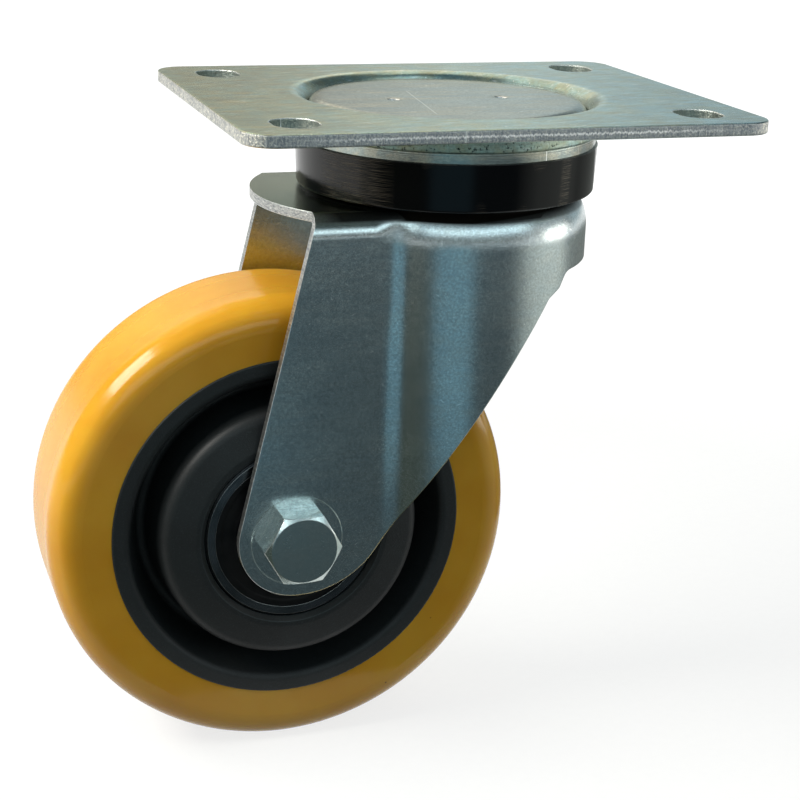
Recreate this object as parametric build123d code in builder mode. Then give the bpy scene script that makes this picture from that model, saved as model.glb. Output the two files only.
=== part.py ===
from build123d import *
import math
import os

os.makedirs("parts", exist_ok=True)

# A plate castor: a pressed fork swivels on two rows of balls under a top plate, and carries a
# cast wheel on two sealed ball bearings.
# Frame, in millimetres: the origin is on the swivel axis, in the plate's mounting face, and +Z is
# up. The wheel trails towards -X. The axle runs along Y, with the bolt's head at -Y.

# General clearances
running_gap = 0.15      # between a ball and its track
bore_gap = 0.05         # radial, a round piece in the hole that it fits
seal_gap = 0.12         # radial, a bearing seal over the ring that turns under it
touch = 0.001           # two places closer than this are one

# Top plate
plate_length = 135.0
plate_width = 110.0
plate_t = 3.2
plate_corner_r = 8.0
sheared_edge_r = 0.4
slot_spacing_x = 105.0
slot_spacing_y = 80.0
slot_width = 11.5
slot_length = 14.5
collar_bore_r = 36.8
collar_reach = 8.9      # from the mounting face down to the collar's cut end
collar_mouth_r = 5.0
collar_root_r = 1.6
collar_end_r = 0.7

# Swivel post: head, flange and kingpin forged and turned in one
head_sink = 1.4         # the head's face lies this far below the mounting face
head_edge_r = 2.6
flange_r = 39.4
flange_t = 2.6
spigot_inset = 3.2      # the spigot is this much smaller than the flange
spigot_wall = 1.6
spigot_reach = 3.2
race_face_drop = 1.5    # from the flange's underside to the face that the ball track is cut in
neck_r = 10.0
pin_r = 8.0
punch_spacing = 30.0
punch_r = 1.8
punch_depth = 0.6
punch_angle = 45.0
pin_point = 0.8

# Seal ring
seal_wall = 3.8
seal_height = 12.2
seal_taper = 0.5
seal_edge_r = 0.8

# Fork
sheet_t = 2.5
crown_gap = 1.1         # seal ring to crown
leg_half_width = 28.0   # swivel plane to the outside of a leg
head_r = 36.5           # drawn head, in plan
head_shift = 2.0        # centre of the drawn head behind the swivel axis
hollow_r = 12.0         # the hollow where a leg runs into the head
leg_bend_r = 3.2
head_bend_run = 5.0     # the bend round the head is taller than it is wide
head_bend_drop = 9.0
bend_steps = 6
crown_front_reach = 52.1    # swivel axis to the middle of the crown's front edge
crown_front_r = 40.7
crown_corner_r = 2.0
skirt_depth = 13.2      # behind the head, from the crown down to the cut edge
skirt_fall = 4.0        # the cut edge comes this much lower before it steps down to the legs
skirt_step_x = 24.0
skirt_step = 4.0
skirt_step_run = 2.4
skirt_ledge_run = 3.6   # a small ledge below the step, before the straight edge
skirt_ledge_fall = 2.2
skirt_step_r = 3.0
skirt_ledge_r = 1.5
edge_top_x = 10.3       # a point on the straight rear edge of the legs
edge_top_drop = 35.0
seat_r = 12.2           # coined round seat under the bolt's head and under the nut
seat_depth = 0.25

# Axle and its place
trail = 47.0
axle_drop = 111.0
tip_r = 15.5
heel_flat = 0.7         # the tip's lower edge runs level this far behind the axle
heel_r = 25.0           # and then turns up into the rear edge
bolt_r = 6.0
bolt_across_flats = 18.0
bolt_head_t = 7.5
bolt_over = 14.5        # from the outside of the leg to the bolt's end
bolt_point = 1.0
washer_r = 12.0
washer_t = 2.5
nut_t = 7.5
nut_collar_t = 2.5
nut_collar_taper = 15.0
hex_crown_angle = 60.0  # corner chamfer, from the hexagon's axis
hex_crown = 0.35        # the round land is this much inside the flats

# Swivel bearing
upper_ball_r = 4.75
upper_pitch_r = 29.0
lower_ball_r = 3.97
lower_pitch_r = 18.0
track_depth = 1.6
ball_spacing = 0.45
race_lip = 1.1          # material outside a track
lower_race_t = 4.2
swivel_hole_gap = 1.0
king_washer_r = 15.0
king_washer_t = 2.0
king_nut_across_flats = 24.0
king_nut_t = 11.0
king_pin_over = 1.5

# Wheel
wheel_r = 62.5
tread_width = 40.0
tread_edge_r = 8.0
core_r = 47.0
core_lock_step = 2.5
core_lock_width = 26.0
rim_band = 4.6
rim_stand = 0.4         # the core's rim stands this far proud of the tyre's side
rim_edge_r = 0.4
rim_inside_round_r = 2.0
rim_wall_run = 3.9      # radially, from the rim's inner edge to the groove's floor
groove_floor_width = 2.5
boss_wall_run = 1.5     # radially, from the groove's floor to the boss's edge
groove_floor = 6.5      # from the wheel's middle plane
groove_round_r = 1.2
boss_lip_r = 26.0
boss_fall = 1.6
boss_round_r = 3.0
boss_stand = 0.8        # boss lip beyond the bearing's face
boss_mouth = 1.2

# Wheel bearings, 20 x 47 x 14
bearing_bore_r = 10.0
bearing_r = 23.5
bearing_width = 14.0
spacer_length = 2.0     # from a bearing's outer face to the leg
bearing_ball_r = 3.97
bearing_pitch_r = 16.75
bearing_ball_count = 8
inner_ring_r = 14.4
outer_ring_bore_r = 19.2
outer_ring_backing = 2.5
seal_seat_r = 20.6
seal_sink = 0.5
seal_t = 1.2
ring_chamfer = 0.8
cage_wall = 2.0
cage_half_width = 4.9
sleeve_wall = 3.9
inner_spacer_wall = 2.6
spacer_r = 13.2

# Heights down the swivel axis
flange_top = -collar_reach
flange_bottom = flange_top - flange_t
race_face = flange_bottom - race_face_drop
upper_ball_z = race_face + track_depth - upper_ball_r - running_gap
race_top = upper_ball_z - upper_ball_r - running_gap + track_depth
race_underside = race_top - sheet_t
lower_ball_z = race_underside + track_depth - lower_ball_r - running_gap
lower_race_top = lower_ball_z - lower_ball_r - running_gap + track_depth
lower_race_bottom = lower_race_top - lower_race_t
seal_bottom = flange_bottom - seal_height
crown_top = seal_bottom - crown_gap
crown_underside = crown_top - sheet_t
king_washer_bottom = lower_race_bottom - king_washer_t
king_nut_bottom = king_washer_bottom - king_nut_t
pin_end = king_nut_bottom - king_pin_over

# Radii round the swivel axis
collar_r = collar_bore_r + plate_t
spigot_r = flange_r - spigot_inset
upper_track_r = upper_ball_r + running_gap
lower_track_r = lower_ball_r + running_gap
upper_lip_r = upper_pitch_r + upper_ball_r
lower_race_r = lower_pitch_r + lower_ball_r + race_lip
swivel_hole_r = neck_r + swivel_hole_gap

# Places along the axle
leg_inside = leg_half_width - sheet_t
bearing_face = leg_inside - spacer_length
bearing_inside = bearing_face - bearing_width
bearing_middle = bearing_face - bearing_width / 2
core_face = bearing_face + boss_stand
rim_face = tread_width / 2 + rim_stand
rim_inside_r = core_r - rim_band
groove_outer_r = rim_inside_r - rim_wall_run
groove_inner_r = groove_outer_r - groove_floor_width
boss_edge_r = groove_inner_r - boss_wall_run
core_lock_r = core_r + core_lock_step
sleeve_r = bearing_bore_r - bore_gap
sleeve_bore_r = sleeve_r - sleeve_wall
bearing_track_r = bearing_ball_r + running_gap

axle_centre = (-trail, 0, -axle_drop)
axle_plane = Plane(origin=axle_centre, x_dir=(1, 0, 0), z_dir=(0, 0, 1))
axle_axis = Axis(axle_centre, (0, 1, 0))


def save(builder, name):
    """Label a finished piece and write it to its own file."""
    builder.part.label = name
    export_step(builder.part, f"parts/{name}.step")


def side_plane(y, outward):
    """A plane across the axle at y, with its normal towards outward, -1 or 1."""
    return Plane(origin=(-trail, y, -axle_drop), x_dir=(1, 0, 0), z_dir=(0, outward, 0))


def balls_that_fit(pitch_r, ball_r):
    """How many balls fill a ring, with a little room between them."""
    return int(2 * math.pi * pitch_r / (2 * ball_r + ball_spacing))


# Top plate: a sheared plate with slotted holes, its middle drawn down into a collar
with BuildPart() as top_plate:
    with BuildSketch():
        RectangleRounded(plate_length, plate_width, plate_corner_r)
        with GridLocations(slot_spacing_x, slot_spacing_y, 2, 2):
            SlotOverall(slot_length, slot_width, rotation=90, mode=Mode.SUBTRACT)
    extrude(amount=-plate_t)
    outline = top_plate.edges().filter_by(
        lambda e: abs(e.center().X) > slot_spacing_x / 2 + slot_width / 2
        or abs(e.center().Y) > slot_spacing_y / 2 + slot_length / 2
    )
    fillet(outline.filter_by(Axis.Z, reverse=True), sheared_edge_r)
    with BuildSketch():
        Circle(collar_r)
    extrude(amount=-collar_reach)
    with BuildSketch():
        Circle(collar_bore_r)
    extrude(amount=-collar_reach, mode=Mode.SUBTRACT)
    mouth = top_plate.faces().sort_by(Axis.Z)[-1].inner_wires().sort_by(SortBy.LENGTH)[-1]
    fillet(mouth.edges(), collar_mouth_r)
    underside = top_plate.faces().filter_by(Axis.Z).filter_by_position(Axis.Z, -plate_t, -plate_t)
    root = underside.faces().sort_by(SortBy.AREA)[-1].inner_wires().sort_by(SortBy.LENGTH)[-1]
    fillet(root.edges(), collar_root_r)
    fillet(top_plate.faces().sort_by(Axis.Z)[0].outer_wire().edges(), collar_end_r)
save(top_plate, "top_plate")

# Swivel post: the head fills the collar, its flange closes the collar's end, and the kingpin
# below it carries the lower race
with BuildPart() as swivel_post:
    with BuildSketch(Plane.XZ):
        with BuildLine():
            Polyline(
                (0, -head_sink),
                (collar_bore_r - bore_gap, -head_sink),
                (collar_bore_r - bore_gap, flange_top),
                (flange_r, flange_top),
                (flange_r, flange_bottom),
                (spigot_r, flange_bottom),
                (spigot_r, flange_bottom - spigot_reach),
                (spigot_r - spigot_wall, flange_bottom - spigot_reach),
                (spigot_r - spigot_wall, race_face),
                (neck_r, race_face),
                (neck_r, lower_race_top),
                (pin_r, lower_race_top),
                (pin_r, pin_end),
                (0, pin_end),
                close=True,
            )
        make_face()
        with Locations((upper_pitch_r, upper_ball_z)):
            Circle(upper_track_r, mode=Mode.SUBTRACT)
    revolve(axis=Axis.Z)
    fillet(swivel_post.faces().sort_by(Axis.Z)[-1].edges(), head_edge_r)
    chamfer(swivel_post.faces().sort_by(Axis.Z)[0].edges(), pin_point)
    with BuildSketch(Plane.XY.offset(-head_sink)):
        with GridLocations(punch_spacing, punch_spacing, 2, 1):
            Circle(punch_r)
    extrude(amount=-punch_depth, taper=punch_angle, mode=Mode.SUBTRACT)
save(swivel_post, "swivel_post")

# Seal ring: it grips the post's spigot under the flange and hangs over the upper row of balls
with BuildPart() as seal_ring:
    with BuildSketch(Plane.XZ) as seal_section:
        with BuildLine():
            Polyline(
                (spigot_r + bore_gap, flange_bottom),
                (spigot_r + seal_wall, flange_bottom),
                (spigot_r + seal_wall - seal_taper, seal_bottom),
                (spigot_r + bore_gap, seal_bottom),
                close=True,
            )
        make_face()
        fillet(seal_section.vertices().group_by(Axis.Y)[0], seal_edge_r)
    revolve(axis=Axis.Z)
save(seal_ring, "seal_ring")

# Lower race: a turned ring on the kingpin, with its track facing up
with BuildPart() as lower_race:
    with BuildSketch(Plane.XZ):
        with BuildLine():
            Polyline(
                (pin_r + bore_gap, lower_race_top),
                (lower_race_r, lower_race_top),
                (lower_race_r, lower_race_bottom),
                (pin_r + bore_gap, lower_race_bottom),
                close=True,
            )
        make_face()
        with Locations((lower_pitch_r, lower_ball_z)):
            Circle(lower_track_r, mode=Mode.SUBTRACT)
    revolve(axis=Axis.Z)
    chamfer(lower_race.faces().sort_by(Axis.Z)[0].outer_wire().edges(), race_lip)
save(lower_race, "lower_race")

# The kingpin's washer and hexagon nut
with BuildPart() as king_washer:
    with BuildSketch(Plane.XY.offset(lower_race_bottom)):
        Circle(king_washer_r)
        Circle(pin_r + bore_gap, mode=Mode.SUBTRACT)
    extrude(amount=-king_washer_t)
save(king_washer, "king_washer")

with BuildPart() as king_nut:
    with BuildSketch(Plane.XY.offset(king_nut_bottom)):
        RegularPolygon(king_nut_across_flats / 2, 6, major_radius=False)
    extrude(amount=king_nut_t)
    with BuildSketch(Plane.XY.offset(king_nut_bottom)):
        Circle(king_nut_across_flats / 2 - hex_crown)
    extrude(amount=king_nut_t, taper=-hex_crown_angle, mode=Mode.INTERSECT)
    with BuildSketch(Plane.XY.offset(king_nut_bottom)):
        Circle(pin_r + bore_gap)
    extrude(amount=king_nut_t, mode=Mode.SUBTRACT)
save(king_nut, "king_nut")

# Two full rows of loose balls
for row_name, pitch_r, ball_r, ball_z in (
    ("upper_balls", upper_pitch_r, upper_ball_r, upper_ball_z),
    ("lower_balls", lower_pitch_r, lower_ball_r, lower_ball_z),
):
    with BuildPart() as ball_row:
        with Locations((0, 0, ball_z)):
            with PolarLocations(pitch_r, balls_that_fit(pitch_r, ball_r)):
                Sphere(ball_r)
    save(ball_row, row_name)


def plan_section(z, leg_inset, head_inset, front):
    """A level cut through the drawn form: two straight legs that run into a round head."""
    half_width = leg_half_width - leg_inset
    radius = head_r - head_inset
    hollow = hollow_r + (leg_inset + head_inset) / 2
    reach = math.sqrt((radius + hollow) ** 2 - (half_width + hollow) ** 2)
    share = radius / (radius + hollow)
    leg_end = head_shift - reach
    join_x = head_shift - share * reach
    join_y = share * (half_width + hollow)
    with BuildSketch(Plane.XY.offset(z)) as section:
        with BuildLine():
            Line((front, half_width), (front, -half_width))
            Line((front, -half_width), (leg_end, -half_width))
            TangentArc((leg_end, -half_width), (join_x, -join_y), tangent=(1, 0))
            ThreePointArc((join_x, -join_y), (head_shift + radius, 0), (join_x, join_y))
            TangentArc((leg_end, half_width), (join_x, join_y), tangent=(1, 0))
            Line((leg_end, half_width), (front, half_width))
        make_face()
    return section.sketch.face()


def bend_sections(inset, front):
    """Level cuts down through the bend at the crown's edge, tight on the legs and wide round
    the head, for the surface that lies inset inside the outer one."""
    leg_bend = leg_bend_r - inset
    sections = []
    for step in range(bend_steps + 1):
        turn = math.radians(90 * step / bend_steps)
        depth = (head_bend_drop - inset) * (1 - math.cos(turn))
        rise = max(leg_bend - depth, 0)
        leg_inset = inset + leg_bend - math.sqrt(leg_bend**2 - rise**2)
        head_inset = inset + (head_bend_run - inset) * (1 - math.sin(turn))
        sections.append(plan_section(crown_top - inset - depth, leg_inset, head_inset, front))
    return sections


# Fork: one sheet drawn into a box with a round head, then trimmed to its side outline
tip_bottom = -axle_drop - tip_r
crown_corner_y = leg_half_width - leg_bend_r
crown_front_centre = crown_front_r - crown_front_reach
crown_front_x = crown_front_centre - math.sqrt(crown_front_r**2 - crown_corner_y**2)
leg_top = crown_top - leg_bend_r
front_span = math.hypot(crown_front_x + trail, leg_top + axle_drop)
front_lean = math.asin(tip_r / front_span) + math.atan2(crown_front_x + trail, leg_top + axle_drop)
tip_corner = (crown_front_x - (leg_top - tip_bottom) * math.tan(front_lean), tip_bottom)
edge_top = (edge_top_x, crown_top - edge_top_drop)
heel_centre = (-trail + heel_flat, tip_bottom + heel_r)
edge_run = edge_top[0] - heel_centre[0]
edge_rise = edge_top[1] - heel_centre[1]
edge_lean = math.atan2(edge_rise, edge_run) + math.asin(heel_r / math.hypot(edge_run, edge_rise))
heel_corner = (heel_centre[0] + heel_r * math.tan(edge_lean / 2), tip_bottom)
skirt_z = crown_top - skirt_depth
step_top = (skirt_step_x, skirt_z - skirt_fall)
step_foot = (step_top[0] - skirt_step_run, step_top[1] - skirt_step)
ledge_end = (step_foot[0] - skirt_ledge_run, step_foot[1] - skirt_ledge_fall)
drawn_height = crown_top - tip_bottom
beyond = 2 * wheel_r
race_seam_r = upper_lip_r - sheet_t / 2
track_back = upper_ball_z - upper_track_r - sheet_t

with BuildPart() as fork:
    loft(bend_sections(0, -beyond))
    wall = plan_section(crown_top - head_bend_drop, 0, 0, -beyond)
    extrude(wall, amount=drawn_height, dir=(0, 0, -1))
    loft(bend_sections(sheet_t, -2 * beyond), mode=Mode.SUBTRACT)
    inside = plan_section(crown_top - head_bend_drop, sheet_t, sheet_t, -2 * beyond)
    extrude(inside, amount=drawn_height, dir=(0, 0, -1), mode=Mode.SUBTRACT)

    # Side outline of the blank, trimmed straight through both legs
    with BuildSketch(Plane.XZ) as side_outline:
        with BuildLine():
            Polyline(
                (-beyond, crown_top),
                (-beyond, leg_top),
                (crown_front_x, leg_top),
                tip_corner,
                heel_corner,
                edge_top,
                ledge_end,
                step_foot,
                step_top,
                (beyond, skirt_z),
                (beyond, crown_top),
                close=True,
            )
        make_face()
        for corner, round_r in (
            (tip_corner, tip_r),
            (heel_corner, heel_r),
            (step_top, skirt_step_r),
            (step_foot, skirt_ledge_r),
            (ledge_end, skirt_ledge_r),
        ):
            fillet(side_outline.vertices().sort_by_distance(corner)[0], round_r)
    extrude(amount=beyond, both=True, mode=Mode.INTERSECT)

    # The crown's front edge bows out between the bends, and turns the corner into the legs
    with BuildSketch(Plane.XY.offset(crown_top)) as crown_waste:
        Rectangle(2 * beyond, 2 * beyond)
        with Locations((crown_front_centre, 0)):
            Circle(crown_front_r, mode=Mode.SUBTRACT)
        with Locations((crown_front_x, 0)):
            Rectangle(2 * beyond, 2 * beyond, align=(Align.MIN, Align.CENTER), mode=Mode.SUBTRACT)
        for side in (-1, 1):
            corner = (crown_front_x, side * crown_corner_y)
            fillet(crown_waste.vertices().sort_by_distance(corner)[0], crown_corner_r)
    extrude(amount=-leg_bend_r, mode=Mode.SUBTRACT)

    # The race is pressed up out of the crown
    with BuildSketch(Plane.XY.offset(crown_top)):
        Circle(race_seam_r)
    extrude(amount=-sheet_t, mode=Mode.SUBTRACT)
    with BuildSketch(Plane.XZ):
        with BuildLine():
            Polyline(
                (swivel_hole_r, race_top),
                (upper_lip_r, race_top),
                (upper_lip_r, crown_underside),
                (upper_lip_r - sheet_t, crown_underside),
                (upper_lip_r - sheet_t, track_back),
                (lower_race_r, track_back),
                (lower_race_r, race_underside),
                (swivel_hole_r, race_underside),
                close=True,
            )
        make_face()
        with Locations((upper_pitch_r, upper_ball_z)):
            Circle(upper_track_r, mode=Mode.SUBTRACT)
        with Locations((lower_pitch_r, lower_ball_z)):
            Circle(lower_track_r, mode=Mode.SUBTRACT)
    revolve(axis=Axis.Z)

    # Axle holes, and the coined seats round them
    with BuildSketch(side_plane(0, 1)):
        Circle(bolt_r + bore_gap)
    extrude(amount=beyond, both=True, mode=Mode.SUBTRACT)
    for outward in (-1, 1):
        with BuildSketch(side_plane(outward * (leg_half_width - seat_depth), outward)):
            Circle(seat_r)
        extrude(amount=seat_depth, mode=Mode.SUBTRACT)
save(fork, "fork")

# Axle bolt, with its head at -Y
seat_y = leg_half_width - seat_depth
with BuildPart() as axle_bolt:
    with BuildSketch(side_plane(-seat_y, -1)):
        RegularPolygon(bolt_across_flats / 2, 6, major_radius=False)
    extrude(amount=bolt_head_t)
    with BuildSketch(side_plane(-seat_y - bolt_head_t, 1)):
        Circle(bolt_across_flats / 2 - hex_crown)
    extrude(amount=bolt_head_t, taper=-hex_crown_angle, mode=Mode.INTERSECT)
    with BuildSketch(side_plane(-seat_y, 1)):
        Circle(bolt_r)
    extrude(amount=seat_y + leg_half_width + bolt_over)
    chamfer(axle_bolt.faces().sort_by(Axis.Y)[-1].edges(), bolt_point)
save(axle_bolt, "axle_bolt")

with BuildPart() as axle_washer:
    with BuildSketch(side_plane(seat_y, 1)):
        Circle(washer_r)
        Circle(bolt_r + bore_gap, mode=Mode.SUBTRACT)
    extrude(amount=washer_t)
save(axle_washer, "axle_washer")

nut_seat = seat_y + washer_t
with BuildPart() as axle_nut:
    with BuildSketch(side_plane(nut_seat, 1)):
        RegularPolygon(bolt_across_flats / 2, 6, major_radius=False)
    extrude(amount=nut_t)
    with BuildSketch(side_plane(nut_seat + nut_t, -1)):
        Circle(bolt_across_flats / 2 - hex_crown)
    extrude(amount=nut_t, taper=-hex_crown_angle, mode=Mode.INTERSECT)
    with BuildSketch(side_plane(nut_seat + nut_t, 1)):
        Circle(bolt_across_flats / 2 - hex_crown)
    extrude(amount=nut_collar_t, taper=nut_collar_taper)
    with BuildSketch(side_plane(nut_seat, 1)):
        Circle(bolt_r + bore_gap)
    extrude(amount=nut_t + nut_collar_t, mode=Mode.SUBTRACT)
save(axle_nut, "axle_nut")

# Axle sleeve: clamped between the legs, it carries both bearings
with BuildPart() as axle_sleeve:
    with BuildSketch(side_plane(0, 1)):
        Circle(sleeve_r)
        Circle(sleeve_bore_r, mode=Mode.SUBTRACT)
    extrude(amount=leg_inside, both=True)
save(axle_sleeve, "axle_sleeve")

# Spacers on the sleeve: one between the bearings, and one from each bearing to its leg
with BuildPart() as inner_spacer:
    with BuildSketch(side_plane(0, 1)):
        Circle(bearing_bore_r + inner_spacer_wall)
        Circle(bearing_bore_r, mode=Mode.SUBTRACT)
    extrude(amount=bearing_inside, both=True)
save(inner_spacer, "inner_spacer")

with BuildPart() as bearing_spacers:
    for outward in (-1, 1):
        with BuildSketch(side_plane(outward * bearing_face, outward)):
            Circle(spacer_r)
            Circle(bearing_bore_r, mode=Mode.SUBTRACT)
        extrude(amount=leg_inside - bearing_face)
save(bearing_spacers, "bearing_spacers")

# Wheel bearings, one on each side: the same ring, cage, balls and seals, mirrored
for side_name, outward in (("head_side", -1), ("nut_side", 1)):
    middle_y = outward * bearing_middle
    half_width = bearing_width / 2

    with BuildPart() as outer_ring:
        with BuildSketch(axle_plane):
            with Locations(((outer_ring_bore_r + bearing_r) / 2, middle_y)):
                Rectangle(bearing_r - outer_ring_bore_r, bearing_width)
            for face_y in (middle_y - half_width, middle_y + half_width):
                with Locations((outer_ring_bore_r, face_y)):
                    Rectangle(
                        2 * (seal_seat_r - outer_ring_bore_r),
                        2 * (seal_sink + seal_t),
                        mode=Mode.SUBTRACT,
                    )
            with Locations((bearing_pitch_r, middle_y)):
                Circle(bearing_track_r, mode=Mode.SUBTRACT)
        revolve(axis=axle_axis)
        rims = outer_ring.edges().filter_by(GeomType.CIRCLE).group_by(SortBy.RADIUS)[-1]
        chamfer(rims, ring_chamfer)
    save(outer_ring, f"{side_name}_outer_ring")

    with BuildPart() as inner_ring:
        with BuildSketch(axle_plane):
            with Locations(((bearing_bore_r + inner_ring_r) / 2, middle_y)):
                Rectangle(inner_ring_r - bearing_bore_r, bearing_width)
            with Locations((bearing_pitch_r, middle_y)):
                Circle(bearing_track_r, mode=Mode.SUBTRACT)
        revolve(axis=axle_axis)
    save(inner_ring, f"{side_name}_inner_ring")

    with BuildPart() as seals:
        for facing in (-1, 1):
            seal_y = middle_y + facing * (half_width - seal_sink)
            with BuildSketch(side_plane(seal_y, -facing)):
                Circle(seal_seat_r)
                Circle(inner_ring_r + seal_gap, mode=Mode.SUBTRACT)
            extrude(amount=seal_t)
    save(seals, f"{side_name}_seals")

    with BuildPart() as cage:
        with BuildSketch(side_plane(middle_y, 1)):
            Circle(bearing_pitch_r + cage_wall / 2)
            Circle(bearing_pitch_r - cage_wall / 2, mode=Mode.SUBTRACT)
        extrude(amount=cage_half_width, both=True)
        with BuildSketch(Plane.XY.offset(-axle_drop)):
            with Locations((-trail, middle_y)):
                Circle(bearing_track_r)
        pocket = extrude(amount=bearing_r, mode=Mode.PRIVATE)
        for number in range(bearing_ball_count):
            turned = pocket.rotate(axle_axis, 360 * number / bearing_ball_count)
            add(turned, mode=Mode.SUBTRACT)
    save(cage, f"{side_name}_cage")

    with BuildPart() as balls:
        with Locations(side_plane(middle_y, 1)):
            with PolarLocations(bearing_pitch_r, bearing_ball_count, start_angle=90):
                Sphere(bearing_ball_r)
    save(balls, f"{side_name}_balls")

# Wheel core: one moulding, with a deep ring groove between the rim and the boss on each side
core_points = (
    (bearing_r, bearing_inside),
    (bearing_r, core_face - boss_mouth),
    (bearing_r + boss_mouth, core_face),
    (boss_lip_r, core_face),
    (boss_edge_r, core_face - boss_fall),
    (groove_inner_r, groove_floor),
    (groove_outer_r, groove_floor),
    (rim_inside_r, rim_face),
    (core_r, rim_face),
    (core_r, core_lock_width / 2),
    (core_lock_r, core_lock_width / 2),
)
mirrored_points = tuple((r, -y) for r, y in reversed(core_points))
with BuildPart() as wheel_core:
    with BuildSketch(axle_plane) as core_section:
        with BuildLine():
            Polyline(
                *core_points,
                *mirrored_points,
                (bearing_r - outer_ring_backing, -bearing_inside),
                (bearing_r - outer_ring_backing, bearing_inside),
                close=True,
            )
        make_face()
        floor_corners = core_section.vertices().filter_by(
            lambda v: groove_inner_r - touch < v.X < groove_outer_r + touch
        )
        fillet(floor_corners, groove_round_r)
        for corner_r, corner_y, round_r in (
            (core_r, rim_face, rim_edge_r),
            (rim_inside_r, rim_face, rim_inside_round_r),
            (boss_edge_r, core_face - boss_fall, boss_round_r),
        ):
            for outward in (-1, 1):
                corner = (corner_r, outward * corner_y)
                fillet(core_section.vertices().sort_by_distance(corner)[0], round_r)
    revolve(axis=axle_axis)
save(wheel_core, "wheel_core")

# Tyre: cast on to the core, locked over its middle band, with well rounded tread edges
with BuildPart() as tyre:
    with BuildSketch(axle_plane) as tyre_section:
        with BuildLine():
            Polyline(
                (core_r, tread_width / 2),
                (wheel_r, tread_width / 2),
                (wheel_r, -tread_width / 2),
                (core_r, -tread_width / 2),
                (core_r, -core_lock_width / 2),
                (core_lock_r, -core_lock_width / 2),
                (core_lock_r, core_lock_width / 2),
                (core_r, core_lock_width / 2),
                close=True,
            )
        make_face()
        fillet(tyre_section.vertices().group_by(Axis.X)[-1], tread_edge_r)
    revolve(axis=axle_axis)
save(tyre, "tyre")
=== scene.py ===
import math
import bpy
from mathutils import Matrix, Vector

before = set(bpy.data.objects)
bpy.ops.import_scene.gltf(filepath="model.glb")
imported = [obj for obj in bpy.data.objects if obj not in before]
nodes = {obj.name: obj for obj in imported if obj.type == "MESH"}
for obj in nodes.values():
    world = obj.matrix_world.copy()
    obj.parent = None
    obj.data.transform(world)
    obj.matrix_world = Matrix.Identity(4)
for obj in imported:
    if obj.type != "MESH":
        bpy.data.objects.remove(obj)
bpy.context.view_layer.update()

# Places and sizes of the castor, in millimetres, as the CAD has them
plate_t = 3.2
half_plate_x = 67.5
half_plate_y = 55.0
head_foot_z = -3.0          # the post is its head disc above this
punch_reach = 15.0          # swivel axis to each of the two punch marks
punch_r = 1.8
thread_top_z = -33.0        # the kingpin is threaded below this
crown_top = -24.8
crown_bend_z = -30.0        # below this the fork's level faces are all cut edges
bends_mid_z = -31.5         # middle of the run from the crown's bend to the foot of the head's
easy_bend_foot_z = -31.5    # the wide bend from the crown to a leg has turned upright here
head_end_x = -22.0          # the head's round wall starts to run out into the legs here
legs_flat_x = -28.0         # and the legs are flat ahead of this
leg_front_x = -30.0         # the cut edges at the legs' front lie ahead of this
crown_front_x = -41.0       # and the one at the crown's front ahead of this
axle_x = -47.0
axle_z = -111.0
bolt_seat_r = 13.5          # the hexagon's seat on the leg, with its edge
seat_clear_z = -60.0        # the legs are straight above this
nut_face_y = 40.3           # the bolt's thread is bare beyond this
floor_z = -173.5


def linear(code):
    """Turn an sRGB hex colour into the linear one that the shaders take."""
    channels = [int(code[i:i + 2], 16) / 255 for i in (0, 2, 4)]
    return (*[c / 12.92 if c <= 0.04045 else ((c + 0.055) / 1.055) ** 2.4 for c in channels], 1.0)


def add(tree, kind, inputs=None, **settings):
    """Add a shader node, set its settings, and set or link its inputs, in which a colour is an sRGB
    hex code. Gives the node's outputs."""
    node = tree.nodes.new("ShaderNode" + kind)
    for name, value in settings.items():
        setattr(node, name, value)
    for name, value in (inputs or {}).items():
        if isinstance(value, bpy.types.NodeSocket):
            tree.links.new(value, node.inputs[name])
        else:
            value = linear(value) if isinstance(value, str) else value
            node.inputs[name].default_value = value
    return node.outputs


def begin(name):
    """Start a material with an empty tree."""
    material = bpy.data.materials.new(name)
    material.use_nodes = True
    material.node_tree.nodes.clear()
    return material, material.node_tree


def close(material, tree, colour, roughness, relief, depth_mm, rounded=None, **constants):
    """Finish a material with its shader: linked looks, a relief of this depth on the rounded
    normal, if there is one, and constants on the shader's own sockets."""
    raised = add(tree, "Math", {0: relief, 1: depth_mm}, operation="MULTIPLY")[0]
    bump = {"Height": raised, "Distance": 0.001}       # height in millimetres
    if rounded:
        bump["Normal"] = rounded
    looks = {"Base Color": colour, "Roughness": roughness, "Normal": add(tree, "Bump", bump)[0]}
    looks.update({name.replace("_", " "): value for name, value in constants.items()})
    shader = add(tree, "BsdfPrincipled", looks)[0]
    add(tree, "OutputMaterial", {"Surface": shader})
    return material


def place_mm(tree):
    """The point's place in millimetres, in the castor's own frame."""
    here = add(tree, "TexCoord")["Object"]
    return add(tree, "VectorMath", {0: here, "Scale": 1000.0}, operation="SCALE")[0]


def from_axle(tree, place):
    """How far the point is from the wheel's axle, in millimetres."""
    along, _, height = add(tree, "SeparateXYZ", {0: place})[0:3]
    side_on = add(tree, "CombineXYZ", {0: along, 1: height})[0]
    return add(tree, "VectorMath", {0: side_on, 1: (axle_x, axle_z, 0.0)},
               operation="DISTANCE")["Value"]


def how_far(tree, value, middle=0.0):
    """How far a value is from the middle, on either side of it."""
    off = add(tree, "Math", {0: value, 1: middle}, operation="SUBTRACT")[0]
    return add(tree, "Math", {0: off}, operation="ABSOLUTE")[0]


def where_all(tree, mask, *others):
    """A mask of what all these masks have in common."""
    for other in others:
        mask = add(tree, "Math", {0: mask, 1: other}, operation="MULTIPLY")[0]
    return mask


def drawn_out(tree, place, axis, length, width):
    """A pattern's place that makes its cells this long on one axis and this wide on the others."""
    size = [width] * 3
    size[axis] = length
    return add(tree, "Mapping", {"Vector": place, "Scale": size}, vector_type="TEXTURE")[0]


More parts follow.
